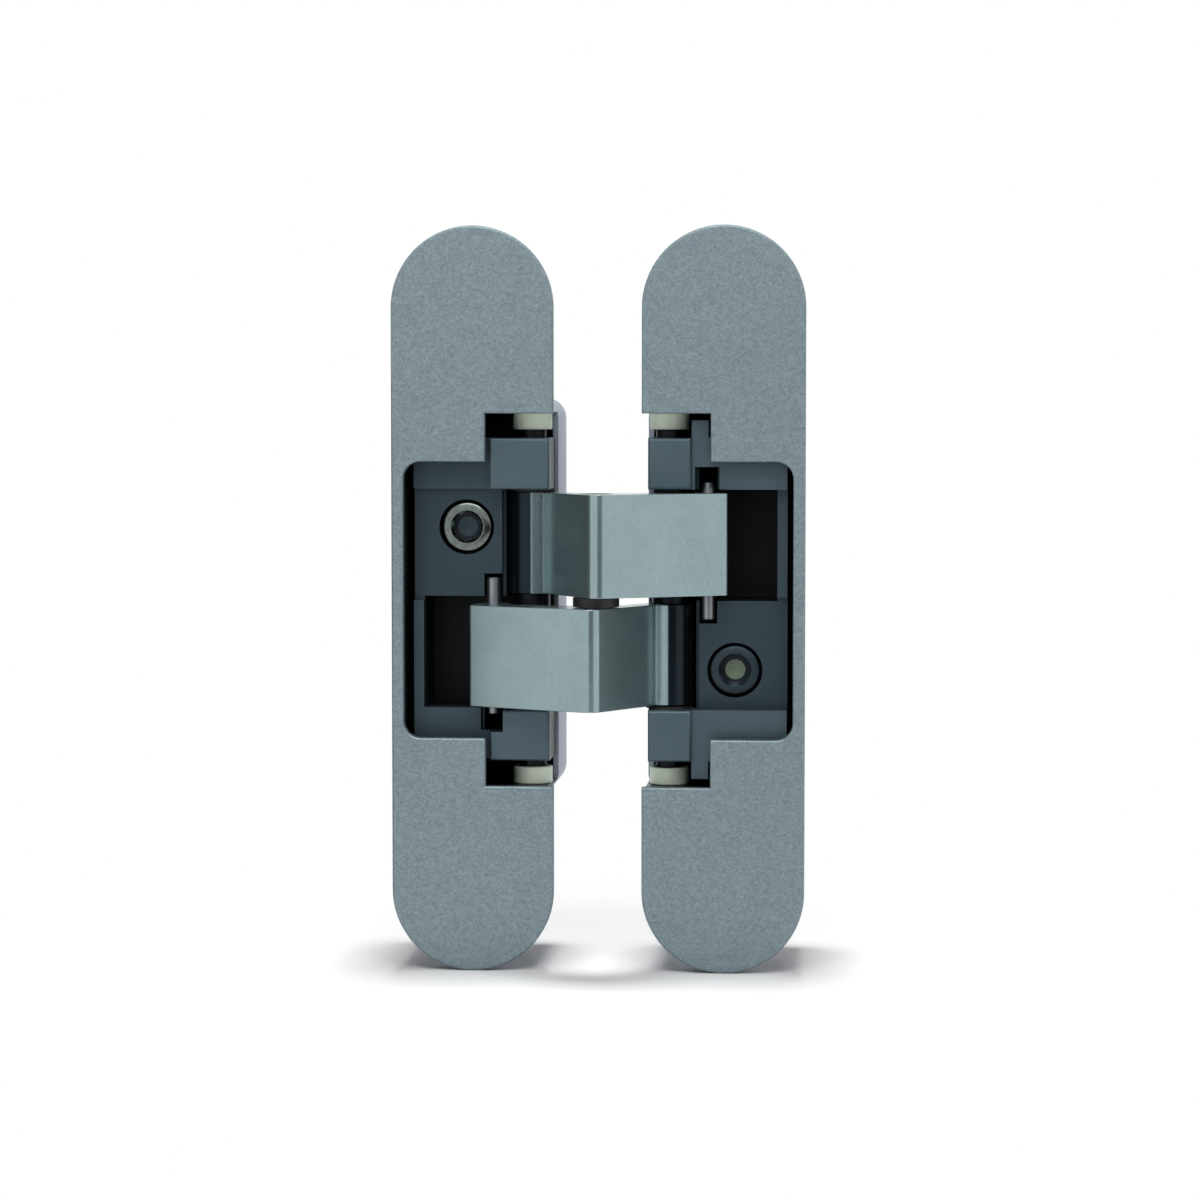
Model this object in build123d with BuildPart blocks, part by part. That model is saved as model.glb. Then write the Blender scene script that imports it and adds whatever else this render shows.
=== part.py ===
"""Concealed door hinge with two mortised halves and a pair of scissor arms.

The hinge lies wide open, at 180 degrees. X runs along the row of plates, Y into the wood, Z up.
The origin is on the back of the frame half's flange, in the middle of that plate. The door half
is the frame half turned half a turn about Y, and so is its arm, so both come out of one loop.
Only the carriers differ: the door half's has narrower ears and higher ledges.
"""

import os
from math import acos, atan2, cos, hypot, pi, sin, sqrt

from build123d import *

# Plates: what shows on the frame and on the edge of the door
PLATE_HEIGHT = 110.0
PLATE_WIDTH = 24.0
PLATE_GAP = 13.0
COVER_THICKNESS = 1.2
COVER_RIM = 1.8
COVER_EDGE = 0.35
WINDOW_HEIGHT = 40.8
WINDOW_CORNER = 2.5
SLOT_WIDTH = 10.1
SLOT_HEIGHT = 55.0
PEG_RADIUS = 1.2
PEG_SPREAD = 13.0
PEG_INSET = 12.4

# Housing: the die-cast box behind the plate
FLANGE_THICKNESS = 2.8
FLANGE_INSET = 0.3
HOUSING_DEPTH = 27.0
HOUSING_CORNER = 3.0
HOUSING_EDGE = 1.0
HOUSING_WALL = 1.4
SIDE_WALL = 0.9
END_WALL = 2.0
FLOOR_THICKNESS = 2.4
BACK_POCKET_WIDTH = 10.6
BACK_POCKET_HEIGHT = 17.0
SCREW_HOLE_RADIUS = 2.3
SCREW_HOLE_SINK = 3.9
SCREW_HOLE_SPACING = 9.5
SCREW_HOLE_INSET = 7.8

# Carrier: the block in the housing that holds the arms and slides up and down
CARRIER_GAP = 0.9
CARRIER_FRONT = 5.0
CARRIER_FLOOR = 6.2
CARRIER_BACK = 20.4
EAR_FRONT = 2.0
EAR_SETBACK = 0.5
FRAME_EAR_WIDTH = 8.9
DOOR_EAR_WIDTH = 6.4
DOOR_LEDGE_FRONT = 3.0
EAR_EDGE = 0.5
POCKET_WALL = 1.5
POCKET_FLOOR = 3.4
HEIGHT_TRAVEL = 1.0
SLIDE_CLEARANCE = 0.2

# Linkage, seen from above: distances from the hinge's middle plane and depths from its front
PIVOT_OUT = 10.2
PIVOT_DEPTH = 7.6
CENTRE_PROUD = 2.3
SLIDER_OUT = 16.0
SLIDER_DEPTH = 6.8
CLOSED_GAP = 4.6

# Arms and their pins
ARM_HEIGHT = 15.0
ARM_GAP = 1.6
ARM_CLEARANCE = 0.5
CREASE_PROUD = 6.3
CREASE_RADIUS = 1.8
BARREL_RADIUS = 3.5
VALLEY_OUT = 8.4
HUB_RADIUS = 4.2
TAIL_RADIUS = 2.5
TAIL_NOSE = 5.3
NOSE_PROUD = 0.6
TAIL_EDGE = 0.5
TAIL_HEEL = 2.2
GUIDE_PIN_RADIUS = 2.0
END_BUSH_RADIUS = 2.9
END_BUSH_HEIGHT = 2.6
CENTRE_PIN_RADIUS = 2.0
SLIDER_PIN_RADIUS = 1.1
SLIDER_REACH = 3.1
SLIDER_END = 1.6
MOUTH_WIDTH = 3.6
BUSH_WALL = 0.5
RUNNING_CLEARANCE = 0.06
GROOVE_CLEARANCE = 0.25
WASHER_RADIUS = 3.4
WASHER_CLEARANCE = 0.15

# Clamp screw and the sliding nut behind the housing's floor
CLAMP_OUT = 20.0
CLAMP_HEIGHT = 10.6
CLAMP_RADIUS = 2.9
CLAMP_HEAD_RADIUS = 3.7
CLAMP_HEAD_HEIGHT = 3.4
CLAMP_KEY = 4.0
CLAMP_KEY_DEPTH = 2.4
CLAMP_CLEARANCE = 0.4
NUT_WIDTH = 9.6
NUT_HEIGHT = 11.0
NUT_THICKNESS = 3.0

# Places that follow from the sizes above
PLATE_THICKNESS = COVER_THICKNESS + FLANGE_THICKNESS
FRONT = -PLATE_THICKNESS
INNER = PLATE_GAP / 2
OUTER = INNER + PLATE_WIDTH
MIDDLE = INNER + PLATE_WIDTH / 2
MID_X = MIDDLE
WINDOW_OUT = OUTER - COVER_RIM
BOX_IN = INNER + FLANGE_INSET
EAR_IN = BOX_IN + EAR_SETBACK
CAVITY_OUT = WINDOW_OUT
CAVITY_IN = BOX_IN + SIDE_WALL
CAVITY_HALF = SLOT_HEIGHT / 2 + SLIDE_CLEARANCE
BOX_OUT = CAVITY_OUT + HOUSING_WALL
BOX_HALF = CAVITY_HALF + END_WALL
FLOOR_DEPTH = CARRIER_BACK + SLIDE_CLEARANCE
POCKET_DEPTH = CARRIER_BACK - POCKET_FLOOR
CARRIER_OUT = WINDOW_OUT - CARRIER_GAP
END_BUSH_LOW = CAVITY_HALF - END_BUSH_HEIGHT
CARRIER_HALF = END_BUSH_LOW - HEIGHT_TRAVEL - SLIDE_CLEARANCE
POCKET_OUT = CARRIER_OUT - POCKET_WALL
ARM_LOW = ARM_GAP / 2
ARM_TOP = ARM_LOW + ARM_HEIGHT
LEDGE = ARM_TOP + ARM_CLEARANCE
SHELF = ARM_LOW - ARM_CLEARANCE
RECESS_RADIUS = BARREL_RADIUS + ARM_CLEARANCE
NOTCH_DEPTH = PIVOT_DEPTH + RECESS_RADIUS + ARM_CLEARANCE
PIN_BORE = GUIDE_PIN_RADIUS + RUNNING_CLEARANCE
PIN_HALF = CAVITY_HALF + END_WALL * 0.75
BUSH_RADIUS = PIN_BORE + BUSH_WALL
CENTRE_BORE = CENTRE_PIN_RADIUS + RUNNING_CLEARANCE
GROOVE_WIDTH = 2 * (SLIDER_PIN_RADIUS + GROOVE_CLEARANCE)
SLIDER_TOP = ARM_TOP + SLIDER_END
SLIDER_LOW = ARM_LOW - SLIDER_REACH - ARM_GAP / 2
TAIL_OUT = SLIDER_OUT + TAIL_RADIUS
NOSE_OUT = TAIL_OUT + NOSE_PROUD
CLAMP_HEAD = CARRIER_FLOOR + CLAMP_CLEARANCE
NUT_FRONT = FLOOR_DEPTH + FLOOR_THICKNESS + SLIDE_CLEARANCE
NUT_BACK = NUT_FRONT + NUT_THICKNESS
OVERCUT = 4.0

# The fold. The arm swings about the guide pin until the centre pin stands in the middle of the
# closed gap. The other arm's slider pin is carried along by the centre pin and turns the rest.
REACH = hypot(PIVOT_OUT, PIVOT_DEPTH + CENTRE_PROUD)
OPEN_ANGLE = atan2(PIVOT_DEPTH + CENTRE_PROUD, PIVOT_OUT)
CLOSED_ANGLE = pi - acos(sqrt(REACH**2 - (PIVOT_DEPTH + CLOSED_GAP / 2) ** 2) / REACH)
SWING = CLOSED_ANGLE - OPEN_ANGLE


def slider_at(share):
    """Where the slider pin stands in its half, as (out, depth), at a share of the closing fold."""
    turn = SWING * share
    centre_out = PIVOT_OUT - REACH * cos(OPEN_ANGLE + turn)
    centre_depth = PIVOT_DEPTH - REACH * sin(OPEN_ANGLE + turn)
    tail = (pi - SWING) * share
    out, depth = SLIDER_OUT, SLIDER_DEPTH + CENTRE_PROUD
    return (
        centre_out + out * cos(tail) - depth * sin(tail),
        centre_depth + out * sin(tail) + depth * cos(tail),
    )


def face_at(turn, depth):
    """A plane square to the plates: local x points outward, local y up, and it faces the wood."""
    return Plane(origin=(MID_X, FRONT + depth, 0), x_dir=(-turn, 0, 0), z_dir=(0, 1, 0))


def level_at(turn, height):
    """A level plane: local x points outward, local y into the wood, and it faces down."""
    return Plane(origin=(MID_X, FRONT, turn * height), x_dir=(-turn, 0, 0), z_dir=(0, 0, -turn))


def span(x0, x1, y0, y1):
    """A rectangle between two corners in the sketch at hand."""
    with Locations(((x0 + x1) / 2, (y0 + y1) / 2)):
        Rectangle(x1 - x0, y1 - y0)


os.makedirs("parts", exist_ok=True)

# The frame half as it is drawn, and the door half turned half a turn about Y
SIDES = {"frame": 1, "door": -1}

for side, turn in SIDES.items():
    # Housing: one casting with the flange, the box and the floor that the clamp bears on
    with BuildPart() as housing:
        with BuildSketch(face_at(turn, COVER_THICKNESS)):
            with Locations((MIDDLE, 0)):
                SlotOverall(PLATE_HEIGHT - 2 * FLANGE_INSET, PLATE_WIDTH - 2 * FLANGE_INSET, rotation=90)
        extrude(amount=FLANGE_THICKNESS)
        with BuildSketch(face_at(turn, PLATE_THICKNESS)):
            with Locations(((BOX_IN + BOX_OUT) / 2, 0)):
                RectangleRounded(BOX_OUT - BOX_IN, 2 * BOX_HALF, HOUSING_CORNER)
        extrude(amount=HOUSING_DEPTH - PLATE_THICKNESS)
        fillet(housing.faces().sort_by(Axis.Y)[-1].edges(), HOUSING_EDGE)
        # The cavity, and the side opening that lets the carrier's ears and the arms through
        with BuildSketch(face_at(turn, 0)):
            span(CAVITY_IN, CAVITY_OUT, -CAVITY_HALF, CAVITY_HALF)
        extrude(amount=FLOOR_DEPTH, mode=Mode.SUBTRACT)
        with BuildSketch(face_at(turn, 0)):
            span(BOX_IN - OVERCUT, CAVITY_OUT, -CAVITY_HALF, CAVITY_HALF)
        extrude(amount=NOTCH_DEPTH, mode=Mode.SUBTRACT)
        # Two pockets in the back leave a rib between them. The sliding nut runs in the upper one
        with BuildSketch(face_at(turn, FLOOR_DEPTH + FLOOR_THICKNESS)):
            with Locations((CLAMP_OUT, CLAMP_HEIGHT), (CLAMP_OUT, -CLAMP_HEIGHT)):
                RectangleRounded(BACK_POCKET_WIDTH, BACK_POCKET_HEIGHT, HOUSING_WALL)
        extrude(amount=HOUSING_DEPTH, mode=Mode.SUBTRACT)
        with BuildSketch(face_at(turn, FLOOR_DEPTH)):
            with Locations((CLAMP_OUT, CLAMP_HEIGHT)):
                SlotCenterToCenter(2 * HEIGHT_TRAVEL, 2 * (CLAMP_RADIUS + CLAMP_CLEARANCE), rotation=90)
        extrude(amount=FLOOR_THICKNESS, mode=Mode.SUBTRACT)
        # The guide pin goes in through the upper end wall and seats in a blind hole below
        with BuildSketch(level_at(turn, BOX_HALF)):
            with Locations((PIVOT_OUT, PIVOT_DEPTH)):
                Circle(GUIDE_PIN_RADIUS)
        extrude(amount=BOX_HALF + PIN_HALF, mode=Mode.SUBTRACT)
        # Countersunk holes for two wood screws at each end, and the holes for the cover's pegs
        screw_rows = []
        for end in (1, -1):
            outermost = PLATE_HEIGHT / 2 - SCREW_HOLE_INSET
            screw_rows.append((MIDDLE, end * outermost))
            screw_rows.append((MIDDLE, end * (outermost - SCREW_HOLE_SPACING)))
        flange_face = face_at(turn, COVER_THICKNESS)
        with Locations(Plane(flange_face.origin, flange_face.x_dir, -flange_face.z_dir)):
            with Locations(*screw_rows):
                CounterSinkHole(SCREW_HOLE_RADIUS, SCREW_HOLE_SINK, FLANGE_THICKNESS, 90)
        with BuildSketch(flange_face):
            with Locations((MIDDLE, 0)):
                with GridLocations(PEG_SPREAD, PLATE_HEIGHT - 2 * PEG_INSET, 2, 2):
                    Circle(PEG_RADIUS)
        extrude(amount=FLANGE_THICKNESS, mode=Mode.SUBTRACT)
    housing.part.label = f"{side}_housing"
    export_step(housing.part, f"parts/{side}_housing.step")

    # Cover: a thin plate that hides the screws and is held by four pegs
    with BuildPart() as cover:
        with BuildSketch(face_at(turn, 0)):
            with Locations((MIDDLE, 0)):
                SlotOverall(PLATE_HEIGHT, PLATE_WIDTH, rotation=90)
            with Locations(((WINDOW_OUT + INNER - OVERCUT) / 2, 0)):
                RectangleRounded(WINDOW_OUT - INNER + OVERCUT, WINDOW_HEIGHT, WINDOW_CORNER, mode=Mode.SUBTRACT)
            with Locations((INNER + (SLOT_WIDTH - OVERCUT) / 2, 0)):
                Rectangle(SLOT_WIDTH + OVERCUT, SLOT_HEIGHT, mode=Mode.SUBTRACT)
        extrude(amount=COVER_THICKNESS)
        fillet(cover.faces().sort_by(Axis.Y)[0].edges(), COVER_EDGE)
        with BuildSketch(face_at(turn, COVER_THICKNESS)):
            with Locations((MIDDLE, 0)):
                with GridLocations(PEG_SPREAD, PLATE_HEIGHT - 2 * PEG_INSET, 2, 2):
                    Circle(PEG_RADIUS)
        extrude(amount=FLANGE_THICKNESS)
    cover.part.label = f"{side}_cover"
    export_step(cover.part, f"parts/{side}_cover.step")

    # Carrier: a cast block with two ears for the guide pin, a recess for the arm's barrel,
    # a deep pocket for the other arm's tail and the grooves that its slider pin runs in
    ear_width = FRAME_EAR_WIDTH if side == "frame" else DOOR_EAR_WIDTH
    with BuildPart() as carrier:
        with BuildSketch(face_at(turn, CARRIER_FRONT)):
            span(EAR_IN, CARRIER_OUT, -CARRIER_HALF, CARRIER_HALF)
        extrude(amount=NOTCH_DEPTH - SLIDE_CLEARANCE - CARRIER_FRONT)
        with BuildSketch(face_at(turn, CARRIER_FRONT)):
            span(CAVITY_IN + SLIDE_CLEARANCE, CARRIER_OUT, -CARRIER_HALF, CARRIER_HALF)
        extrude(amount=CARRIER_BACK - CARRIER_FRONT)
        for low, high in ((LEDGE, CARRIER_HALF), (-CARRIER_HALF, -LEDGE)):
            with BuildSketch(face_at(turn, EAR_FRONT)):
                span(EAR_IN, EAR_IN + ear_width, low, high)
            extrude(amount=CARRIER_FRONT - EAR_FRONT)
            if side == "door":
                # Higher ledges, with a finger beside each ear that reaches past the end bush
                with BuildSketch(face_at(turn, DOOR_LEDGE_FRONT)):
                    span(EAR_IN + ear_width, CARRIER_OUT, low, high)
                extrude(amount=CARRIER_FRONT - DOOR_LEDGE_FRONT)
                finger = (low, high + END_BUSH_HEIGHT) if low > 0 else (low - END_BUSH_HEIGHT, high)
                with BuildSketch(face_at(turn, DOOR_LEDGE_FRONT)):
                    span(EAR_IN + ear_width, EAR_IN + FRAME_EAR_WIDTH, *finger)
                extrude(amount=NOTCH_DEPTH - SLIDE_CLEARANCE - DOOR_LEDGE_FRONT)
        fillet(carrier.faces().group_by(Axis.Y)[0].edges(), EAR_EDGE)
        # Upper half: a floor behind the folded arm, and the recess that its barrel turns in
        with BuildSketch(face_at(turn, 0)):
            span(BOX_IN - OVERCUT, CARRIER_OUT + OVERCUT, -SHELF, LEDGE)
        extrude(amount=CARRIER_FLOOR, mode=Mode.SUBTRACT)
        with BuildSketch(level_at(turn, LEDGE)):
            span(BOX_IN - OVERCUT, PIVOT_OUT + RECESS_RADIUS + ARM_CLEARANCE, 0, PIVOT_DEPTH)
            with Locations((PIVOT_OUT, PIVOT_DEPTH)):
                Circle(RECESS_RADIUS)
        extrude(amount=LEDGE - SHELF, mode=Mode.SUBTRACT)
        # Lower half: room round the guide pin, and the deep pocket for the other arm's tail
        pocket_in = slider_at(1)[0] - TAIL_RADIUS - ARM_CLEARANCE
        with BuildSketch(level_at(turn, SHELF)):
            span(BOX_IN - OVERCUT, POCKET_OUT, 0, PIVOT_DEPTH + BUSH_RADIUS + ARM_CLEARANCE)
            span(pocket_in, POCKET_OUT, 0, POCKET_DEPTH)
        extrude(amount=SHELF + LEDGE, mode=Mode.SUBTRACT)
        # Grooves for both ends of the slider pin, open to the front so that it can be put in
        inner_groove = (SHELF + SLIDER_REACH + GROOVE_CLEARANCE, GROOVE_WIDTH)
        for groove_top, mouth in (inner_groove, (-LEDGE, MOUTH_WIDTH)):
            with BuildSketch(level_at(turn, groove_top)):
                with BuildLine():
                    path = ThreePointArc(slider_at(0), slider_at(0.5), slider_at(1))
                SlotArc(path.edge(), GROOVE_WIDTH)
                span(SLIDER_OUT - mouth / 2, SLIDER_OUT + mouth / 2, 0, SLIDER_DEPTH)
            extrude(amount=SLIDER_REACH + GROOVE_CLEARANCE, mode=Mode.SUBTRACT)
        # Bore for the guide pin, and the stepped hole for the clamp screw
        with BuildSketch(level_at(turn, CARRIER_HALF)):
            with Locations((PIVOT_OUT, PIVOT_DEPTH)):
                Circle(PIN_BORE)
        extrude(amount=2 * CARRIER_HALF, mode=Mode.SUBTRACT)
        with BuildSketch(face_at(turn, CARRIER_FLOOR)):
            with Locations((CLAMP_OUT, CLAMP_HEIGHT)):
                Circle(CLAMP_HEAD_RADIUS + CLAMP_CLEARANCE)
        extrude(amount=CLAMP_CLEARANCE + CLAMP_HEAD_HEIGHT, mode=Mode.SUBTRACT)
        with BuildSketch(face_at(turn, CARRIER_FLOOR)):
            with Locations((CLAMP_OUT, CLAMP_HEIGHT)):
                Circle(CLAMP_RADIUS + CLAMP_CLEARANCE)
        extrude(amount=CARRIER_BACK - CARRIER_FLOOR, mode=Mode.SUBTRACT)
    carrier.part.label = f"{side}_carrier"
    export_step(carrier.part, f"parts/{side}_carrier.step")

    # Guide pin: the arm turns on it and the carrier slides along it
    with BuildPart() as guide_pin:
        with BuildSketch(level_at(turn, PIN_HALF)):
            with Locations((PIVOT_OUT, PIVOT_DEPTH)):
                Circle(GUIDE_PIN_RADIUS)
        extrude(amount=2 * PIN_HALF)
        chamfer(guide_pin.edges().filter_by(GeomType.CIRCLE), GUIDE_PIN_RADIUS / 6)
    guide_pin.part.label = f"{side}_guide_pin"
    export_step(guide_pin.part, f"parts/{side}_guide_pin.step")

    # End bushes: two moulded collars on the pin that stop the carrier at the ends of its travel
    for end in (1, -1):
        with BuildPart() as end_bush:
            with BuildSketch(level_at(turn, end * CAVITY_HALF)):
                with Locations((PIVOT_OUT, PIVOT_DEPTH)):
                    Circle(END_BUSH_RADIUS)
                    Circle(GUIDE_PIN_RADIUS, mode=Mode.SUBTRACT)
            extrude(amount=end * END_BUSH_HEIGHT)
        end_name = "upper" if end == turn else "lower"
        end_bush.part.label = f"{side}_{end_name}_bush"
        export_step(end_bush.part, f"parts/{side}_{end_name}_bush.step")

    # Spacer sleeve: carries the arm's barrel above the lower ear
    with BuildPart() as spacer:
        with BuildSketch(level_at(turn, ARM_LOW - WASHER_CLEARANCE)):
            with Locations((PIVOT_OUT, PIVOT_DEPTH)):
                Circle(BUSH_RADIUS)
                Circle(PIN_BORE, mode=Mode.SUBTRACT)
        extrude(amount=ARM_LOW + LEDGE - WASHER_CLEARANCE)
    spacer.part.label = f"{side}_spacer"
    export_step(spacer.part, f"parts/{side}_spacer.step")

    # Thrust washer between the barrel and the upper ear
    with BuildPart() as thrust_washer:
        with BuildSketch(level_at(turn, LEDGE)):
            with Locations((PIVOT_OUT, PIVOT_DEPTH)):
                Circle(BARREL_RADIUS)
                Circle(PIN_BORE, mode=Mode.SUBTRACT)
        extrude(amount=ARM_CLEARANCE - WASHER_CLEARANCE)
    thrust_washer.part.label = f"{side}_thrust_washer"
    export_step(thrust_washer.part, f"parts/{side}_thrust_washer.step")

    # Clamp screw: a socket screw through the carrier and the housing's floor
    with BuildPart() as clamp_screw:
        with BuildSketch(face_at(turn, CLAMP_HEAD)):
            with Locations((CLAMP_OUT, CLAMP_HEIGHT)):
                Circle(CLAMP_HEAD_RADIUS)
        extrude(amount=CLAMP_HEAD_HEIGHT)
        with BuildSketch(face_at(turn, CLAMP_HEAD)):
            with Locations((CLAMP_OUT, CLAMP_HEIGHT)):
                Circle(CLAMP_RADIUS)
        extrude(amount=NUT_BACK - CLAMP_HEAD)
        with BuildSketch(face_at(turn, CLAMP_HEAD)):
            with Locations((CLAMP_OUT, CLAMP_HEIGHT)):
                RegularPolygon(CLAMP_KEY / 2, 6, major_radius=False)
        extrude(amount=CLAMP_KEY_DEPTH, mode=Mode.SUBTRACT)
        chamfer(clamp_screw.edges().filter_by(GeomType.CIRCLE).sort_by(Axis.Y)[0], COVER_EDGE)
    clamp_screw.part.label = f"{side}_clamp_screw"
    export_step(clamp_screw.part, f"parts/{side}_clamp_screw.step")

    # Sliding nut: pulled against the back of the housing's floor
    with BuildPart() as nut:
        with BuildSketch(face_at(turn, NUT_FRONT)):
            with Locations((CLAMP_OUT, CLAMP_HEIGHT)):
                RectangleRounded(NUT_WIDTH, NUT_HEIGHT, HOUSING_WALL)
                Circle(CLAMP_RADIUS + RUNNING_CLEARANCE, mode=Mode.SUBTRACT)
        extrude(amount=NUT_THICKNESS)
    nut.part.label = f"{side}_nut"
    export_step(nut.part, f"parts/{side}_nut.step")

    # Arm: a barrel on the guide pin, a hub at the centre pin under a sharp crease, and a tail
    # whose nose carries the slider pin of the other half
    valley = (VALLEY_OUT, PIVOT_DEPTH - sqrt(BARREL_RADIUS**2 - (PIVOT_OUT - VALLEY_OUT) ** 2))
    barrel_inner = (PIVOT_OUT - BARREL_RADIUS * cos(pi / 4), PIVOT_DEPTH + BARREL_RADIUS * sin(pi / 4))
    hub_back = HUB_RADIUS - CENTRE_PROUD
    tail_in = SLIDER_OUT - TAIL_RADIUS
    with BuildPart() as arm:
        with BuildSketch(level_at(turn, ARM_TOP)) as arm_profile:
            with BuildLine():
                Polyline(
                    valley,
                    (0, -CENTRE_PROUD - CREASE_PROUD),
                    (-NOSE_OUT, SLIDER_DEPTH - TAIL_NOSE),
                    (-TAIL_OUT, SLIDER_DEPTH),
                )
                ThreePointArc(
                    (-TAIL_OUT, SLIDER_DEPTH),
                    (-SLIDER_OUT, SLIDER_DEPTH + TAIL_RADIUS),
                    (-tail_in, SLIDER_DEPTH),
                )
                Polyline(
                    (-tail_in, SLIDER_DEPTH),
                    (-tail_in, SLIDER_DEPTH - TAIL_HEEL),
                    (-HUB_RADIUS, hub_back),
                    (HUB_RADIUS / 2, hub_back),
                    barrel_inner,
                )
                ThreePointArc(barrel_inner, (PIVOT_OUT + BARREL_RADIUS, PIVOT_DEPTH), valley)
            make_face()
            fillet(arm_profile.vertices().sort_by(Axis.Y)[0], CREASE_RADIUS)
            fillet(arm_profile.vertices().group_by(Axis.X)[0].sort_by(Axis.Y)[0], TAIL_EDGE)
            with Locations((PIVOT_OUT, PIVOT_DEPTH)):
                Circle(BUSH_RADIUS, mode=Mode.SUBTRACT)
            with Locations((0, -CENTRE_PROUD)):
                Circle(CENTRE_BORE + BUSH_WALL, mode=Mode.SUBTRACT)
            with Locations((-SLIDER_OUT, SLIDER_DEPTH)):
                Circle(SLIDER_PIN_RADIUS, mode=Mode.SUBTRACT)
        extrude(amount=ARM_HEIGHT)
    arm.part.label = f"{side}_arm"
    export_step(arm.part, f"parts/{side}_arm.step")

    # Two bushes pressed into the arm, for the guide pin and for the centre pin
    with BuildPart() as pivot_bush:
        with BuildSketch(level_at(turn, ARM_TOP)):
            with Locations((PIVOT_OUT, PIVOT_DEPTH)):
                Circle(BUSH_RADIUS)
                Circle(PIN_BORE, mode=Mode.SUBTRACT)
        extrude(amount=ARM_HEIGHT)
    pivot_bush.part.label = f"{side}_pivot_bush"
    export_step(pivot_bush.part, f"parts/{side}_pivot_bush.step")

    with BuildPart() as centre_bush:
        with BuildSketch(level_at(turn, ARM_TOP)):
            with Locations((0, -CENTRE_PROUD)):
                Circle(CENTRE_BORE + BUSH_WALL)
                Circle(CENTRE_BORE, mode=Mode.SUBTRACT)
        extrude(amount=ARM_HEIGHT)
    centre_bush.part.label = f"{side}_centre_bush"
    export_step(centre_bush.part, f"parts/{side}_centre_bush.step")

    # Slider pin in the arm's tail, long enough for both grooves of the other half's carrier
    with BuildPart() as slider_pin:
        with BuildSketch(level_at(turn, SLIDER_TOP)):
            with Locations((-SLIDER_OUT, SLIDER_DEPTH)):
                Circle(SLIDER_PIN_RADIUS)
        extrude(amount=SLIDER_TOP - SLIDER_LOW)
        chamfer(slider_pin.edges().filter_by(GeomType.CIRCLE), SLIDER_PIN_RADIUS / 6)
    slider_pin.part.label = f"{side}_slider_pin"
    export_step(slider_pin.part, f"parts/{side}_slider_pin.step")

# Centre pin: joins the two arms
with BuildPart() as centre_pin:
    with BuildSketch(level_at(1, ARM_TOP - WASHER_CLEARANCE)):
        with Locations((0, -CENTRE_PROUD)):
            Circle(CENTRE_PIN_RADIUS)
    extrude(amount=2 * (ARM_TOP - WASHER_CLEARANCE))
    chamfer(centre_pin.edges().filter_by(GeomType.CIRCLE), CENTRE_PIN_RADIUS / 6)
centre_pin.part.label = "centre_pin"
export_step(centre_pin.part, "parts/centre_pin.step")

# Centre washer: keeps the two arms apart
with BuildPart() as centre_washer:
    with BuildSketch(level_at(1, ARM_LOW - WASHER_CLEARANCE)):
        with Locations((0, -CENTRE_PROUD)):
            Circle(WASHER_RADIUS)
            Circle(CENTRE_BORE, mode=Mode.SUBTRACT)
    extrude(amount=ARM_GAP - 2 * WASHER_CLEARANCE)
centre_washer.part.label = "centre_washer"
export_step(centre_washer.part, "parts/centre_washer.step")
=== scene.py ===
import math

import bmesh
import bpy
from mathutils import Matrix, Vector


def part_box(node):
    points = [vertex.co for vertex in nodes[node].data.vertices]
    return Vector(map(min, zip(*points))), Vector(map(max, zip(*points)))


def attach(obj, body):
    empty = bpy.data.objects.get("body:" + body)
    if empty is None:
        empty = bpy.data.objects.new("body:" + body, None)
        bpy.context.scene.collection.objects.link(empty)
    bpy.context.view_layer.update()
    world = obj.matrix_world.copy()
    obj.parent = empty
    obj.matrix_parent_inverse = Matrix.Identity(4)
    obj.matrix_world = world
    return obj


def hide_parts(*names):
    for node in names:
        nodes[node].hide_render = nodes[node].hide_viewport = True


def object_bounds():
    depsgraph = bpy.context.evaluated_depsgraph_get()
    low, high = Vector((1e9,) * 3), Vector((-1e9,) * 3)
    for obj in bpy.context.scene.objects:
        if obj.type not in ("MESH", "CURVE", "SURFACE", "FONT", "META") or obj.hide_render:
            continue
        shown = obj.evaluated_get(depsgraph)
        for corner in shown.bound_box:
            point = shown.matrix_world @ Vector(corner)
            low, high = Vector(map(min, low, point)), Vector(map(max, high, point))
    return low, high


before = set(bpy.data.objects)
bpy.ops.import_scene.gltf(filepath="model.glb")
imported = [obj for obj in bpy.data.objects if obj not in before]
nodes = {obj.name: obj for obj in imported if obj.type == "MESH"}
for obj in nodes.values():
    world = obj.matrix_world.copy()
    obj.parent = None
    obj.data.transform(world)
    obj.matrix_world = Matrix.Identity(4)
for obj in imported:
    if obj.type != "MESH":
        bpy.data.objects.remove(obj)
cad_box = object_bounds()


# Housings: one zinc die-casting for each half, with the screw flange, the box that goes into the
# mortise and the walls that hold the guide pin. They are blasted and sprayed silver, and inside the
# box the colour is a near black, painted shade of the cavity.
MM = 0.001
SIDES = ("frame", "door")
low, high = Vector(cad_box[0]), Vector(cad_box[1])
MID_X = (low.x + high.x) / 2
FRONT_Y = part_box("frame_cover")[0][1]


def linear(hex_colour):
    """An sRGB hex colour as linear red, green, blue and alpha."""
    shares = [int(hex_colour[i:i + 2], 16) / 255 for i in (1, 3, 5)]
    return (*[s / 12.92 if s <= 0.04045 else ((s + 0.055) / 1.055) ** 2.4 for s in shares], 1.0)


def add(tree, kind, inputs, **settings):
    """Add a node, give it its settings, and set or link its inputs."""
    made = tree.nodes.new(kind)
    for name, value in settings.items():
        setattr(made, name, value)
    for key, value in inputs.items():
        if isinstance(value, bpy.types.NodeSocket):
            tree.links.new(value, made.inputs[key])
        else:
            made.inputs[key].default_value = value
    return made


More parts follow.
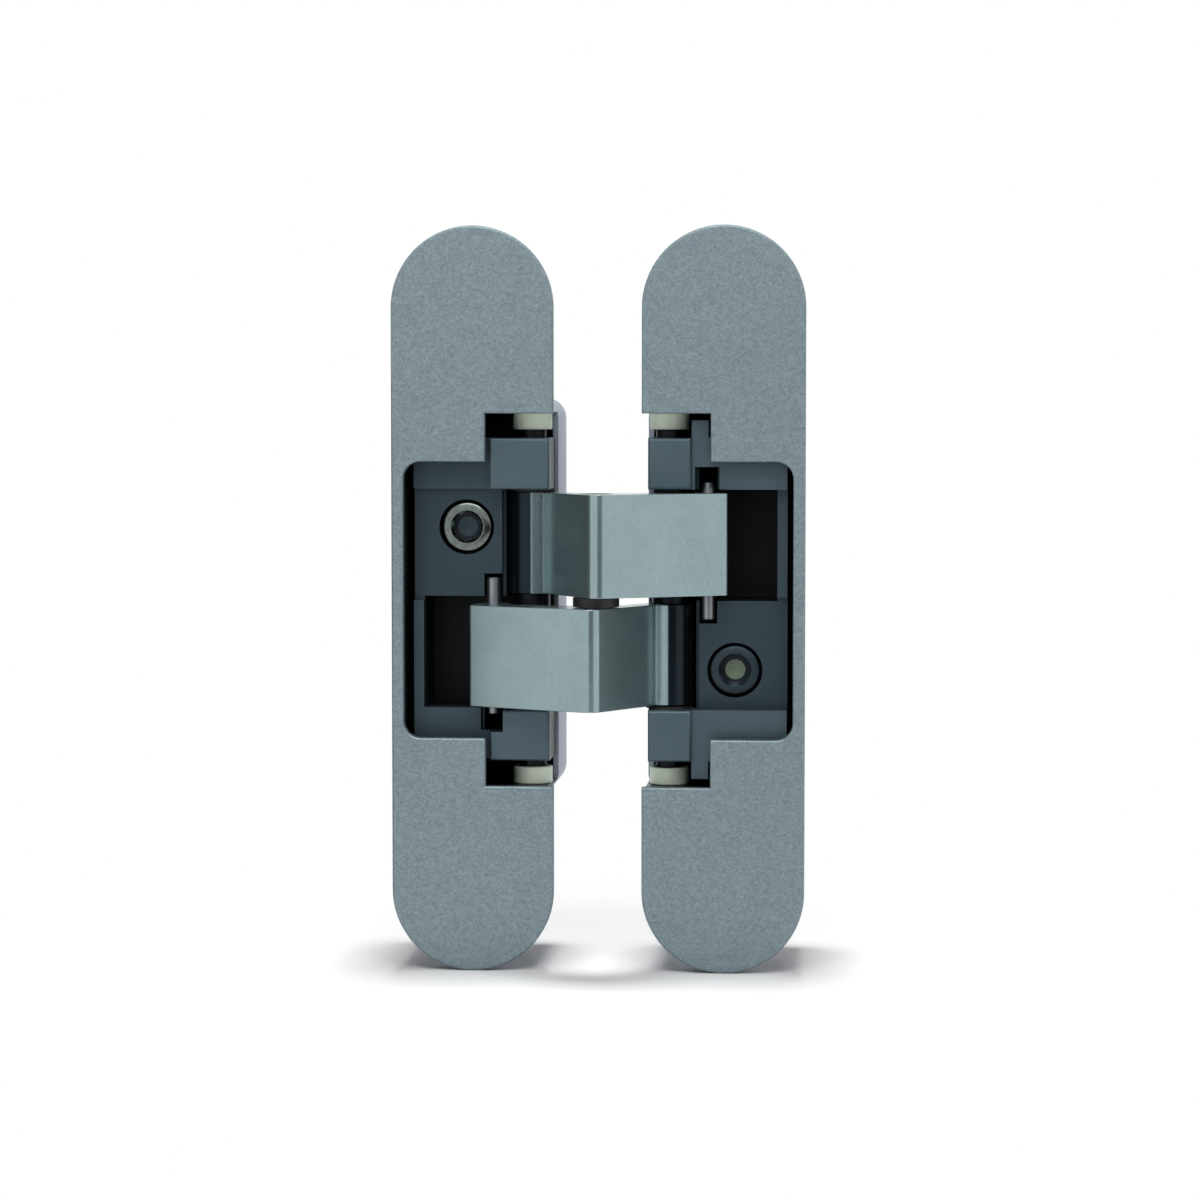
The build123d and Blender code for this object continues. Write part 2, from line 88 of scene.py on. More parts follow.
def surface(name, sockets):
    """A material with one Principled shader that has these plain socket values."""
    made = bpy.data.materials.new(name)
    made.use_nodes = True
    shader = made.node_tree.nodes["Principled BSDF"]
    for key, value in sockets.items():
        shader.inputs[key].default_value = value
    return made, made.node_tree, shader


def finish_node(node_name, material):
    """Give a CAD piece its finish."""
    slots = nodes[node_name].data.materials
    slots.clear()
    slots.append(material)


smooth_faces = bpy.data.node_groups.new("smooth_faces", "GeometryNodeTree")
for direction in ("INPUT", "OUTPUT"):
    smooth_faces.interface.new_socket("Geometry", in_out=direction, socket_type="NodeSocketGeometry")
given = add(smooth_faces, "NodeGroupInput", {})
smoothed = add(smooth_faces, "GeometryNodeSetShadeSmooth", {"Geometry": given.outputs["Geometry"]})
add(smooth_faces, "NodeGroupOutput", {"Geometry": smoothed.outputs["Geometry"]})


# Points as close as this are joined, and faces as near to flat as this become one face
JOINED_WITHIN = 0.0005 * MM
FLAT_WITHIN = math.radians(0.5)
# Edges sharper than this are eased in a few steps, and large faces lead the shading
SHARP_EDGE = math.radians(32)
EASE_STEPS = 2
LARGE_FACE_WEIGHT = 80


def ease_edges(node_name, width):
    """Break a casting's sharp edges by a small width, as tumbling does."""
    piece = nodes[node_name]
    weld = piece.modifiers.new("joined_faces", "WELD")
    weld.merge_threshold = JOINED_WITHIN
    flat = piece.modifiers.new("flat_faces", "DECIMATE")
    flat.decimate_type = "DISSOLVE"
    flat.angle_limit = FLAT_WITHIN
    smooth = piece.modifiers.new("smooth_faces", "NODES")
    smooth.node_group = smooth_faces
    bevel = piece.modifiers.new("eased_edges", "BEVEL")
    bevel.width = width
    bevel.segments = EASE_STEPS
    bevel.limit_method = "ANGLE"
    bevel.angle_limit = SHARP_EDGE
    bevel.miter_outer = "MITER_ARC"
    even = piece.modifiers.new("even_shading", "WEIGHTED_NORMAL")
    even.weight = LARGE_FACE_WEIGHT


# Blasted zinc under paint is smooth to the hand and shows a soft grain, about 0.4 mm across
CAST_GRAIN = 0.4 * MM
CAST_RELIEF = 0.04 * MM
CAST_CLOUD = 9 * MM
HOUSING_EASE = 0.15 * MM
# The cavity that gets the painted shade, as a box, measured out from the hinge's middle, in from
# the front and up from the middle
CAVITY_MIDDLE = (18.2 * MM, 10.3 * MM, 0.0)
CAVITY_REACH = (10.6 * MM, 10.4 * MM, 27.8 * MM)
sprayed_zinc, tree, shader = surface("silver_sprayed_zinc", {"Metallic": 0.75})
place = add(tree, "ShaderNodeTexCoord", {})
from_front = add(
    tree, "ShaderNodeVectorMath",
    {0: place.outputs["Object"], 1: (-MID_X, -FRONT_Y, 0.0)},
    operation="ADD",
)
spot = add(tree, "ShaderNodeVectorMath", {0: from_front.outputs["Vector"]}, operation="ABSOLUTE")
offset = add(
    tree, "ShaderNodeVectorMath",
    {0: spot.outputs["Vector"], 1: CAVITY_MIDDLE},
    operation="SUBTRACT",
)
share = add(
    tree, "ShaderNodeVectorMath",
    {0: offset.outputs["Vector"], 1: CAVITY_REACH},
    operation="DIVIDE",
)
share = add(tree, "ShaderNodeVectorMath", {0: share.outputs["Vector"]}, operation="ABSOLUTE")
along = add(tree, "ShaderNodeSeparateXYZ", {0: share.outputs["Vector"]})
farthest = add(
    tree, "ShaderNodeMath", {0: along.outputs["X"], 1: along.outputs["Y"]}, operation="MAXIMUM"
)
farthest = add(
    tree, "ShaderNodeMath", {0: farthest.outputs["Value"], 1: along.outputs["Z"]}, operation="MAXIMUM"
)
# One inside the cavity, where the near black painted shade goes
cavity_shade_mask = add(tree, "ShaderNodeMath", {0: farthest.outputs["Value"], 1: 1.0}, operation="LESS_THAN")
grain = add(
    tree, "ShaderNodeTexNoise",
    {"Vector": place.outputs["Object"], "Scale": 1 / CAST_GRAIN, "Detail": 3.0},
)
cloud = add(
    tree, "ShaderNodeTexNoise",
    {"Vector": place.outputs["Object"], "Scale": 1 / CAST_CLOUD, "Detail": 2.0},
)
tone = add(
    tree, "ShaderNodeMath",
    {0: grain.outputs["Fac"], 1: cloud.outputs["Fac"]},
    operation="ADD",
)
tone = add(
    tree, "ShaderNodeMapRange",
    {"Value": tone.outputs["Value"], "From Min": 0.6, "From Max": 1.4},
)
spray = add(
    tree, "ShaderNodeMix",
    {"Factor": tone.outputs["Result"], 6: linear("#878f9e"), 7: linear("#a3abb9")},
    data_type="RGBA",
)
# Inside the cavity the silver gives way to a near black, painted shade
zinc_and_cavity_shade = add(
    tree, "ShaderNodeMix",
    {"Factor": cavity_shade_mask.outputs["Value"], 6: spray.outputs[2], 7: linear("#0c0e13")},
    data_type="RGBA",
)
tree.links.new(zinc_and_cavity_shade.outputs[2], shader.inputs["Base Color"])
dullness = add(
    tree, "ShaderNodeMapRange",
    {"Value": grain.outputs["Fac"], "To Min": 0.38, "To Max": 0.54},
)
tree.links.new(dullness.outputs["Result"], shader.inputs["Roughness"])
relief = add(
    tree, "ShaderNodeBump",
    {"Height": grain.outputs["Fac"], "Strength": 0.4, "Distance": CAST_RELIEF},
)
tree.links.new(relief.outputs["Normal"], shader.inputs["Normal"])
for side in SIDES:
    finish_node(f"{side}_housing", sprayed_zinc)
    ease_edges(f"{side}_housing", HOUSING_EASE)


# Covers: thin zinc plates with round ends, held on the flange by four pegs, that hide the wood screws.
# They are sprayed with a matt silver paint that shows a fine, sparkling flake, which is drawn three
# times as coarse as the real one, so that it shows.
FLAKE = 0.26 * MM
FLAKE_RELIEF = 0.02 * MM
MOTTLE = 0.9 * MM
COVER_EASE = 0.3 * MM
flake_paint, tree, shader = surface("matt_silver_flake_paint", {"Metallic": 0.7})
place = add(tree, "ShaderNodeTexCoord", {})
flakes = add(
    tree, "ShaderNodeTexVoronoi",
    {"Vector": place.outputs["Object"], "Scale": 1 / FLAKE},
)
mottle = add(
    tree, "ShaderNodeTexNoise",
    {"Vector": place.outputs["Object"], "Scale": 1 / MOTTLE, "Detail": 4.0, "Roughness": 0.7},
)
flake = add(tree, "ShaderNodeSeparateColor", {"Color": flakes.outputs["Color"]})
tone = add(
    tree, "ShaderNodeMath",
    {0: flake.outputs["Red"], 1: mottle.outputs["Fac"]},
    operation="ADD",
)
tone = add(
    tree, "ShaderNodeMapRange",
    {"Value": tone.outputs["Value"], "From Min": 0.3, "From Max": 1.7},
)
silver = add(
    tree, "ShaderNodeMix",
    {"Factor": tone.outputs["Result"], 6: linear("#6d7d84"), 7: linear("#8a9a9f")},
    data_type="RGBA",
)
tree.links.new(silver.outputs[2], shader.inputs["Base Color"])
dullness = add(
    tree, "ShaderNodeMapRange",
    {"Value": flake.outputs["Green"], "To Min": 0.4, "To Max": 0.56},
)
tree.links.new(dullness.outputs["Result"], shader.inputs["Roughness"])
relief = add(
    tree, "ShaderNodeBump",
    {"Height": flake.outputs["Blue"], "Strength": 0.08, "Distance": FLAKE_RELIEF},
)
tree.links.new(relief.outputs["Normal"], shader.inputs["Normal"])
for side in SIDES:
    finish_node(f"{side}_cover", flake_paint)
    ease_edges(f"{side}_cover", COVER_EASE)


# Guide pins, spacers and end bushes: a steel pin through each half with a sleeve beside the arm,
# both near black, which on the pin is painted shade, and two collars moulded in natural nylon.
# The nylon is a milky white that lets some light in.
GRIND_LINE = 1.5 * MM
# A ring from the grinding is this many times finer along the pin than round it
GRIND_STRETCH = (1.0, 1.0, 14.0)


def ground(name, metallic, dark, light, smooth, dull):
    """Steel ground round and round: fine rings between two tones and two roughnesses."""
    made, tree, shader = surface(name, {"Metallic": metallic})
    place = add(tree, "ShaderNodeTexCoord", {})
    stretch = add(
        tree, "ShaderNodeMapping",
        {"Vector": place.outputs["Object"], "Scale": GRIND_STRETCH},
    )
    rings = add(
        tree, "ShaderNodeTexNoise",
        {"Vector": stretch.outputs["Vector"], "Scale": 1 / GRIND_LINE, "Detail": 3.0},
    )
    tone = add(
        tree, "ShaderNodeMix",
        {"Factor": rings.outputs["Fac"], 6: linear(dark), 7: linear(light)},
        data_type="RGBA",
    )
    tree.links.new(tone.outputs[2], shader.inputs["Base Color"])
    dullness = add(
        tree, "ShaderNodeMapRange",
        {"Value": rings.outputs["Fac"], "To Min": smooth, "To Max": dull},
    )
    tree.links.new(dullness.outputs["Result"], shader.inputs["Roughness"])
    return made


# The near black is painted shade on the guide pins and in the screws' sockets, and the spacers share it;
# the grinding rings still show in it as a faint sheen
shade_black_steel = ground("black_steel_painted_shade", 0.9, "#14171b", "#24282d", smooth=0.3, dull=0.46)

NYLON_CLOUD = 1.6 * MM
# Red light goes furthest into the nylon, and blue the least
NYLON_REACH = (0.6 * MM, 0.5 * MM, 0.3 * MM)
BUSH_EASE = 0.2 * MM
nylon, tree, shader = surface(
    "natural_nylon",
    {
        "Roughness": 0.42,
        "Subsurface Weight": 0.2,
        "Subsurface Radius": NYLON_REACH,
        "Subsurface Scale": 1.0,
    },
)
place = add(tree, "ShaderNodeTexCoord", {})
cloud = add(
    tree, "ShaderNodeTexNoise",
    {"Vector": place.outputs["Object"], "Scale": 1 / NYLON_CLOUD, "Detail": 2.0},
)
milky = add(
    tree, "ShaderNodeMix",
    {"Factor": cloud.outputs["Fac"], 6: linear("#dfeed8"), 7: linear("#edf7e5")},
    data_type="RGBA",
)
tree.links.new(milky.outputs[2], shader.inputs["Base Color"])
for side in SIDES:
    finish_node(f"{side}_guide_pin", shade_black_steel)
    finish_node(f"{side}_spacer", shade_black_steel)
    for end in ("upper", "lower"):
        finish_node(f"{side}_{end}_bush", nylon)
        ease_edges(f"{side}_{end}_bush", BUSH_EASE)


# Carriers: zinc blocks that slide in the housings and hold the arms. They have a dark satin
# plating, bluish grey, painted darker and then black further in, as painted shade in the recesses.
PLATING_GRAIN = 0.5 * MM
PLATING_RELIEF = 0.03 * MM
PLATING_CLOUD = 7 * MM
CARRIER_EASE = 0.15 * MM
# Behind the covers' front, the tone goes down from the ledges to the floor, and then to black, as painted
# shade
LEDGE_DEPTH = 2.6 * MM
FLOOR_DEPTH = 6.4 * MM
RECESS_START = 6.5 * MM
RECESS_BLACK = 10 * MM
dark_zinc, tree, shader = surface("dark_plated_zinc", {"Metallic": 0.65})
place = add(tree, "ShaderNodeTexCoord", {})
row = add(tree, "ShaderNodeSeparateXYZ", {0: place.outputs["Object"]})
grain = add(
    tree, "ShaderNodeTexNoise",
    {"Vector": place.outputs["Object"], "Scale": 1 / PLATING_GRAIN, "Detail": 4.0},
)
cloud = add(
    tree, "ShaderNodeTexNoise",
    {"Vector": place.outputs["Object"], "Scale": 1 / PLATING_CLOUD, "Detail": 3.0},
)
slate = add(
    tree, "ShaderNodeMix",
    {"Factor": cloud.outputs["Fac"], 6: linear("#43545d"), 7: linear("#55666e")},
    data_type="RGBA",
)
floor_shade_share = add(
    tree, "ShaderNodeMapRange",
    {"Value": row.outputs["Y"], "From Min": FRONT_Y + LEDGE_DEPTH, "From Max": FRONT_Y + FLOOR_DEPTH},
)
floor_shade_tone = add(
    tree, "ShaderNodeMix",
    {"Factor": floor_shade_share.outputs["Result"], 6: slate.outputs[2], 7: linear("#303f47")},
    data_type="RGBA",
)
recess_shade_share = add(
    tree, "ShaderNodeMapRange",
    {"Value": row.outputs["Y"], "From Min": FRONT_Y + RECESS_START, "From Max": FRONT_Y + RECESS_BLACK},
)
recess_shade_tone = add(
    tree, "ShaderNodeMix",
    {"Factor": recess_shade_share.outputs["Result"], 6: floor_shade_tone.outputs[2], 7: linear("#06080d")},
    data_type="RGBA",
)
tree.links.new(recess_shade_tone.outputs[2], shader.inputs["Base Color"])
dullness = add(
    tree, "ShaderNodeMapRange",
    {"Value": grain.outputs["Fac"], "To Min": 0.4, "To Max": 0.56},
)
tree.links.new(dullness.outputs["Result"], shader.inputs["Roughness"])
relief = add(
    tree, "ShaderNodeBump",
    {"Height": grain.outputs["Fac"], "Strength": 0.2, "Distance": PLATING_RELIEF},
)
tree.links.new(relief.outputs["Normal"], shader.inputs["Normal"])
for side in SIDES:
    finish_node(f"{side}_carrier", dark_zinc)
    ease_edges(f"{side}_carrier", CARRIER_EASE)


# Bearing pieces: the bushes in the arms' barrels and hubs, and the washers beside them. They are turned
# from a black bearing polymer that runs dry and looks matt.
POLYMER_CLOUD = 0.8 * MM
polymer, tree, shader = surface("black_bearing_polymer", {"Roughness": 0.5})
place = add(tree, "ShaderNodeTexCoord", {})
cloud = add(
    tree, "ShaderNodeTexNoise",
    {"Vector": place.outputs["Object"], "Scale": 1 / POLYMER_CLOUD, "Detail": 3.0},
)
black = add(
    tree, "ShaderNodeMix",
    {"Factor": cloud.outputs["Fac"], 6: linear("#0d0f11"), 7: linear("#16191c")},
    data_type="RGBA",
)
tree.links.new(black.outputs[2], shader.inputs["Base Color"])
for side in SIDES:
    for name in ("thrust_washer", "pivot_bush", "centre_bush"):
        finish_node(f"{side}_{name}", polymer)
finish_node("centre_washer", polymer)


# Clamp screws and nuts: a hexagon socket screw goes through each carrier and pulls a nut against
# the back of the housing's floor. The head is turned with a chamfer, the socket is pressed and
# ends in a drilled cone, and the thread is rolled. One screw is zinc-plated, the other phosphated.
SCREW_SIDES = 48
SCREW_CREASE = math.radians(28)
NUT_EASE = 0.2 * MM
KEY = 4.0 * MM
SOCKET_DEPTH = 1.5 * MM
SOCKET_CONE = 0.4 * MM
DRILL_RADIUS = 1.5 * MM
# The pressed socket's floor is a little smaller than the key and dished, and its mouth is flared
SOCKET_INSET = 0.15 * MM
SOCKET_DISH = 0.1 * MM
MOUTH_FLARE = 0.12 * MM
MOUTH_DEPTH = 0.35 * MM
HEAD_CHAMFER = 0.4 * MM
HEAD_HEIGHT = 3.4 * MM
HEAD_EDGE = 0.15 * MM
NECK_FLARE = 0.25 * MM
NECK_HEIGHT = 0.3 * MM
THREAD_PITCH = 1.0 * MM
THREAD_DEPTH = 0.45 * MM
THREAD_RADIUS = 2.88 * MM
THREAD_STEPS = 8
TIP_LENGTH = 0.6 * MM
TIP_TAPER = 0.3 * MM
# The small flat that closes the cone and the tip
POINT_RADIUS = 0.05 * MM
PLATING_STAIN = 0.9 * MM
# The bands of faces from the socket's cone to its chamfer, painted near black as the socket's shade
SOCKET_BANDS = range(1, 4)
# The screw's material slots
HEAD, SOCKET, CONE = range(3)


def screw_rings(head_radius, length):
    """The screw's rings from the socket's cone to its tip, each as (radius at an angle, depth)."""
    mouth = KEY / math.sqrt(3) + MOUTH_FLARE

    def socket(angle):
        sixth = math.pi / 3
        return KEY / 2 / math.cos(angle % sixth - sixth / 2)

    def ring(radius, depth):
        return (lambda angle: radius, depth)

    rings = [
        ring(POINT_RADIUS, SOCKET_DEPTH + SOCKET_CONE),
        ring(DRILL_RADIUS, SOCKET_DEPTH),
        ring(KEY / 2 - SOCKET_INSET, SOCKET_DEPTH),
        (socket, SOCKET_DEPTH - SOCKET_DISH),
        (socket, MOUTH_DEPTH),
        ring(mouth, 0.0),
        ring(head_radius - HEAD_CHAMFER, 0.0),
        ring(head_radius - HEAD_CHAMFER / 3, HEAD_CHAMFER / 3),
        ring(head_radius, HEAD_CHAMFER),
        ring(head_radius, HEAD_HEIGHT - HEAD_EDGE),
        ring(head_radius - HEAD_EDGE, HEAD_HEIGHT),
        ring(THREAD_RADIUS + NECK_FLARE, HEAD_HEIGHT),
        ring(THREAD_RADIUS, HEAD_HEIGHT + NECK_HEIGHT),
    ]
    thread_start = HEAD_HEIGHT + THREAD_PITCH
    steps = round((length - TIP_LENGTH - thread_start) / THREAD_PITCH * THREAD_STEPS)
    for step in range(steps + 1):
        depth = thread_start + step * THREAD_PITCH / THREAD_STEPS

        def thread(angle, depth=depth):
            phase = (depth / THREAD_PITCH - angle / math.tau) % 1.0
            return THREAD_RADIUS - THREAD_DEPTH * (1 - abs(2 * phase - 1))

        rings.append((thread, depth))
    rings.append(ring(THREAD_RADIUS - THREAD_DEPTH - TIP_TAPER, length))
    rings.append(ring(POINT_RADIUS, length))
    return rings


def screw(name, head, head_radius, length, turned):
    """A socket screw from the middle of its head's front into the hinge, with its socket turned."""
    made = bmesh.new()
    hoops = []
    for radius, depth in screw_rings(head_radius, length):
        hoop = []
        for k in range(SCREW_SIDES):
            angle = math.tau * k / SCREW_SIDES
            out = radius(angle)
            aim = angle + turned
            spoke = Vector((out * math.cos(aim), depth, out * math.sin(aim)))
            hoop.append(made.verts.new(head + spoke))
        hoops.append(hoop)
    for index, (near, far) in enumerate(zip(hoops, hoops[1:])):
        for k in range(SCREW_SIDES):
            after = (k + 1) % SCREW_SIDES
            face = made.faces.new((near[k], near[after], far[after], far[k]))
            face.smooth = True
            face.material_index = CONE if index == 0 else SOCKET if index in SOCKET_BANDS else HEAD
    made.faces.new(hoops[0]).material_index = CONE
    made.faces.new(list(reversed(hoops[-1])))
    bmesh.ops.recalc_face_normals(made, faces=made.faces)
    mesh = bpy.data.meshes.new(name)
    made.to_mesh(mesh)
    made.free()
    mesh.set_sharp_from_angle(angle=SCREW_CREASE)
    piece = bpy.data.objects.new(name, mesh)
    bpy.context.collection.objects.link(piece)
    return piece


def stained(name, metallic, dark, light, smooth, dull):
    """Steel with a thin finish that has stains between two tones and two roughnesses."""
    made, tree, shader = surface(name, {"Metallic": metallic})
    place = add(tree, "ShaderNodeTexCoord", {})
    stain = add(
        tree, "ShaderNodeTexNoise",
        {"Vector": place.outputs["Object"], "Scale": 1 / PLATING_STAIN, "Detail": 4.0},
    )
    tone = add(
        tree, "ShaderNodeMix",
        {"Factor": stain.outputs["Fac"], 6: linear(dark), 7: linear(light)},
        data_type="RGBA",
    )
    tree.links.new(tone.outputs[2], shader.inputs["Base Color"])
    dullness = add(
        tree, "ShaderNodeMapRange",
        {"Value": stain.outputs["Fac"], "To Min": smooth, "To Max": dull},
    )
    tree.links.new(dullness.outputs["Result"], shader.inputs["Roughness"])
    return made


# Zinc plating is bright and shiny, and phosphate is a dark coat of crystals that looks dull
plated_steel = stained("zinc_plated_steel", 1.0, "#454d4a", "#848d88", smooth=0.12, dull=0.26)
phosphate = stained("phosphated_steel", 0.8, "#27333a", "#37444b", smooth=0.34, dull=0.52)
# The drilled cone at the bottom of the phosphated screw's socket is bare and dull, under an oil film
# that looks green. The other screw's cone takes the dark phosphate, as painted shade in its socket.
drilled_steel = stained("drilled_steel", 0.6, "#566454", "#778573", smooth=0.5, dull=0.62)
HEAD_FINISH = {"frame": plated_steel, "door": phosphate}
CONE_FINISH_AND_SHADE = {"frame": phosphate, "door": drilled_steel}
SOCKET_TURN = {"frame": math.radians(20), "door": 0.0}
for side in SIDES:
    near, far = (Vector(corner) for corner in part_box(f"{side}_clamp_screw"))
    head = Vector(((near.x + far.x) / 2, near.y, (near.z + far.z) / 2))
    piece = screw(
        f"{side}_socket_screw",
        head,
        head_radius=(far.x - near.x) / 2,
        length=far.y - near.y,
        turned=SOCKET_TURN[side],
    )
    # The socket's walls take the near black as painted shade, and the frame screw's cone the phosphate as
    # painted shade
    for finish in (HEAD_FINISH[side], shade_black_steel, CONE_FINISH_AND_SHADE[side]):
        piece.data.materials.append(finish)
    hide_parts(f"{side}_clamp_screw")
    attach(piece, f"{side}_screw")
    finish_node(f"{side}_nut", plated_steel)
    ease_edges(f"{side}_nut", NUT_EASE)


# Arms: zinc castings with a sharp crease, ground on the faces and sprayed smooth silver with a
# satin gloss. Past the barrel's edge the colour turns dark blue grey, painted shade on the barrel.
ARM_FLAKE = 0.35 * MM
ARM_CLOUD = 6 * MM
ARM_EASE = 0.2 * MM
# How far from the hinge's middle the barrel's painted shade begins, and how soft its edge is each way
MASK_OUT = 10.2 * MM
MASK_BLUR = 0.1 * MM
satin_paint, tree, shader = surface("satin_silver_paint", {"Metallic": 0.8})
place = add(tree, "ShaderNodeTexCoord", {})
row = add(tree, "ShaderNodeSeparateXYZ", {0: place.outputs["Object"]})
which_arm = add(tree, "ShaderNodeMath", {0: row.outputs["Z"]}, operation="SIGN")
inward = add(tree, "ShaderNodeMath", {0: row.outputs["X"], 1: MID_X}, operation="SUBTRACT")
to_tail = add(
    tree, "ShaderNodeMath",
    {0: inward.outputs["Value"], 1: which_arm.outputs["Value"]},
    operation="MULTIPLY",
)
barrel_shade = add(
    tree, "ShaderNodeMapRange",
    {
        "Value": to_tail.outputs["Value"],
        "From Min": -MASK_OUT + MASK_BLUR,
        "From Max": -MASK_OUT - MASK_BLUR,
    },
)
flakes = add(
    tree, "ShaderNodeTexNoise",
    {"Vector": place.outputs["Object"], "Scale": 1 / ARM_FLAKE, "Detail": 1.0},
)
cloud = add(
    tree, "ShaderNodeTexNoise",
    {"Vector": place.outputs["Object"], "Scale": 1 / ARM_CLOUD, "Detail": 2.0},
)
tone = add(
    tree, "ShaderNodeMath",
    {0: flakes.outputs["Fac"], 1: cloud.outputs["Fac"]},
    operation="ADD",
)
tone = add(
    tree, "ShaderNodeMapRange",
    {"Value": tone.outputs["Value"], "From Min": 0.5, "From Max": 1.5},
)
silver = add(
    tree, "ShaderNodeMix",
    {"Factor": tone.outputs["Result"], 6: linear("#869b9f"), 7: linear("#99adb0")},
    data_type="RGBA",
)
arm_with_barrel_shade = add(
    tree, "ShaderNodeMix",
    {"Factor": barrel_shade.outputs["Result"], 6: silver.outputs[2], 7: linear("#1b252c")},
    data_type="RGBA",
)
tree.links.new(arm_with_barrel_shade.outputs[2], shader.inputs["Base Color"])
dullness = add(
    tree, "ShaderNodeMapRange",
    {"Value": flakes.outputs["Fac"], "To Min": 0.2, "To Max": 0.26},
)
tree.links.new(dullness.outputs["Result"], shader.inputs["Roughness"])
for side in SIDES:
    finish_node(f"{side}_arm", satin_paint)
    ease_edges(f"{side}_arm", ARM_EASE)


# Slider pins and centre pin: plain steel pins, one through each arm's tail and one through both hubs.
# They are ground bright, which leaves fine rings round them.
ground_steel = ground("ground_steel", 1.0, "#7f8187", "#9a9ca1", smooth=0.28, dull=0.4)
for side in SIDES:
    finish_node(f"{side}_slider_pin", ground_steel)
finish_node("centre_pin", ground_steel)


# Studio: a white floor under the plates and white all round. A small soft lamp overhead makes the
# shadow under the plates, larger ones in front and at the sides fill it, and the front one glints on
# edges that face up. Two dark cards, in front and at the left, show only in what shines.
FLOOR_REACH = 3.0
# The floor shows the whole shadow up to the first distance, and is plain white from the second on
SHADOW_NEAR = 50 * MM
SHADOW_FAR = 110 * MM
ROOM_LIGHT = 0.12
middle = Vector((MID_X, FRONT_Y, 0.0))


def shows_background(tree):
    """One for rays from the camera, off what shines or through glass, and zero for other rays."""
    rays = add(tree, "ShaderNodeLightPath", {})
    seen = add(
        tree, "ShaderNodeMath",
        {0: rays.outputs["Is Camera Ray"], 1: rays.outputs["Is Glossy Ray"]},
        operation="MAXIMUM",
    )
    seen = add(
        tree, "ShaderNodeMath",
        {0: seen.outputs["Value"], 1: rays.outputs["Is Transmission Ray"]},
        operation="MAXIMUM",
    )
    return seen.outputs["Value"]


white_floor, tree, shader = surface(
    "white_floor", {"Base Color": linear("#e8e8e8"), "Roughness": 1.0, "Specular IOR Level": 0.0}
)
place = add(tree, "ShaderNodeTexCoord", {})
distance = add(
    tree, "ShaderNodeVectorMath",
    {0: place.outputs["Object"], 1: (middle.x, middle.y, low.z)},
    operation="DISTANCE",
)
open_floor = add(
    tree, "ShaderNodeMapRange",
    {"Value": distance.outputs["Value"], "From Min": SHADOW_NEAR, "From Max": SHADOW_FAR},
)
shown = add(
    tree, "ShaderNodeMath",
    {0: shows_background(tree), 1: open_floor.outputs["Result"]},
    operation="MULTIPLY",
)
white = add(tree, "ShaderNodeEmission", {"Strength": 1.0})
both = add(
    tree, "ShaderNodeMixShader",
    {0: shown.outputs["Value"], 1: shader.outputs["BSDF"], 2: white.outputs["Emission"]},
)
tree.links.new(both.outputs["Shader"], tree.nodes["Material Output"].inputs["Surface"])
floor_mesh = bpy.data.meshes.new("floor")
floor_mesh.from_pydata(
    [(FLOOR_REACH * x, FLOOR_REACH * y, low.z) for x, y in ((-1, -1), (1, -1), (1, 1), (-1, 1))],
    [], [(0, 1, 2, 3)],
)
floor_mesh.materials.append(white_floor)
floor = bpy.data.objects.new("floor", floor_mesh)
bpy.context.collection.objects.link(floor)

CARD_HEIGHT = 85 * MM


def card(name, colour, place, width, turned):
    """A dark card that stands on the floor and shows only in what shines."""
    paper = surface(name, {"Base Color": linear(colour), "Roughness": 1.0})[0]
    mesh = bpy.data.meshes.new(name)
    mesh.from_pydata(
        [(width / 2 * x, 0, CARD_HEIGHT * z) for x, z in ((-1, 0), (1, 0), (1, 1), (-1, 1))],
        [], [(0, 1, 2, 3)],
    )
    mesh.materials.append(paper)
    made = bpy.data.objects.new(name, mesh)
    made.location = (*place, low.z)
    made.rotation_euler = (0, 0, turned)
    made.visible_camera = False
    made.visible_diffuse = False
    made.visible_shadow = False
    bpy.context.collection.objects.link(made)


card("black_card", "#0c0c0d", place=(MID_X + 94 * MM, -290 * MM), width=238 * MM, turned=math.radians(13))
card("brown_card", "#5a4638", place=(MID_X - 60 * MM, -8 * MM), width=32 * MM, turned=math.radians(90))

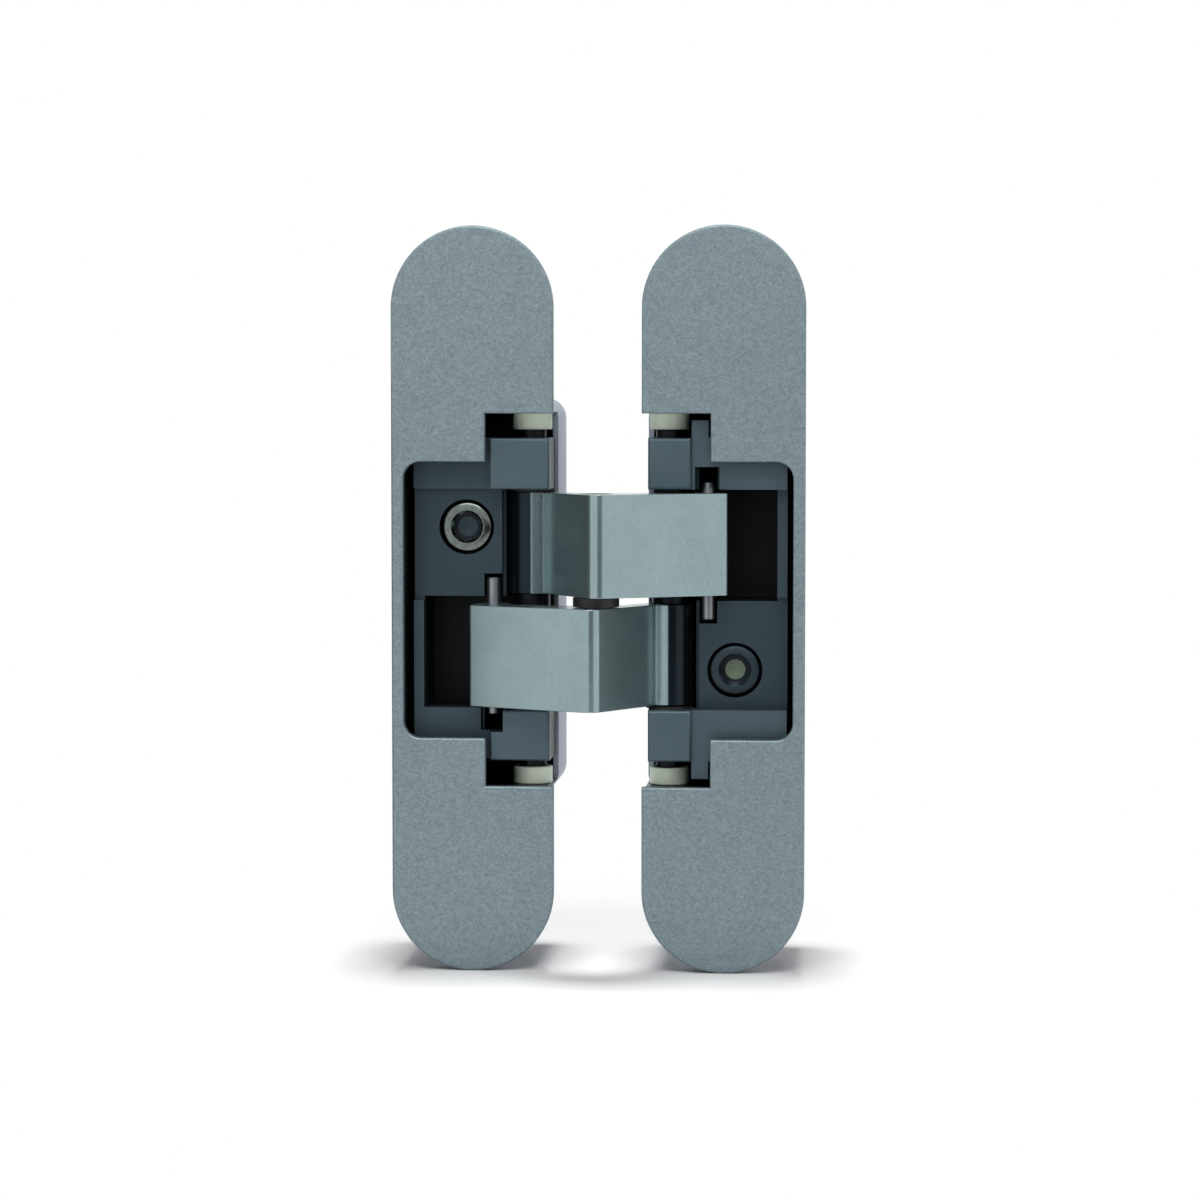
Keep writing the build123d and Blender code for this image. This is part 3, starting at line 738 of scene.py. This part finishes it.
world = bpy.data.worlds.new("studio")
bpy.context.scene.world = world
world.use_nodes = True
tree = world.node_tree
level = add(
    tree, "ShaderNodeMapRange",
    {"Value": shows_background(tree), "To Min": ROOM_LIGHT, "To Max": 1.0},
)
sky = tree.nodes["Background"]
sky.inputs["Color"].default_value = (1, 1, 1, 1)
tree.links.new(level.outputs["Result"], sky.inputs["Strength"])


def lamp(name, place, size, power, glints=False):
    """A square soft lamp that looks at the hinge, and shows in what shines only if it glints."""
    light = bpy.data.lights.new(name, "AREA")
    light.size = size
    light.energy = power
    made = bpy.data.objects.new(name, light)
    made.location = place
    made.rotation_euler = (middle - Vector(place)).to_track_quat("-Z", "Y").to_euler()
    made.visible_glossy = glints
    bpy.context.collection.objects.link(made)


# Places and sizes in metres, power in watts
lamp("key", place=(0.02, 0.05, 0.6), size=0.12, power=3.6)
lamp("front_fill", place=(0.03, -0.42, 0.54), size=0.5, power=2.7, glints=True)
lamp("left_fill", place=(-0.6, -0.4, 0.12), size=0.5, power=0.8)
lamp("right_fill", place=(0.7, -0.14, 0.12), size=0.5, power=2.0)

# The camera looks at the front from a little to the right and a little above
AZIMUTH = math.radians(4.4)
ELEVATION = math.radians(3.5)
CAMERA_AWAY = 500 * MM
FRAME_WIDTH = 176.3 * MM
AIM_RIGHT = 0.4 * MM
AIM_UP = 0.15 * MM
CLIP_START = 10 * MM
# The sensor and the lens are in millimetres
SENSOR_WIDTH = 36
aim = middle + Vector((AIM_RIGHT, 0.0, AIM_UP))
camera_data = bpy.data.cameras.new("camera")
camera_data.sensor_width = SENSOR_WIDTH
camera_data.lens = SENSOR_WIDTH * CAMERA_AWAY / FRAME_WIDTH
camera_data.clip_start = CLIP_START
camera = bpy.data.objects.new("camera", camera_data)
camera.location = aim + CAMERA_AWAY * Vector((
    math.sin(AZIMUTH) * math.cos(ELEVATION),
    -math.cos(AZIMUTH) * math.cos(ELEVATION),
    math.sin(ELEVATION),
))
camera.rotation_euler = (aim - camera.location).to_track_quat("-Z", "Y").to_euler()
bpy.context.collection.objects.link(camera)
bpy.context.scene.camera = camera
bpy.context.scene.view_settings.view_transform = "Standard"
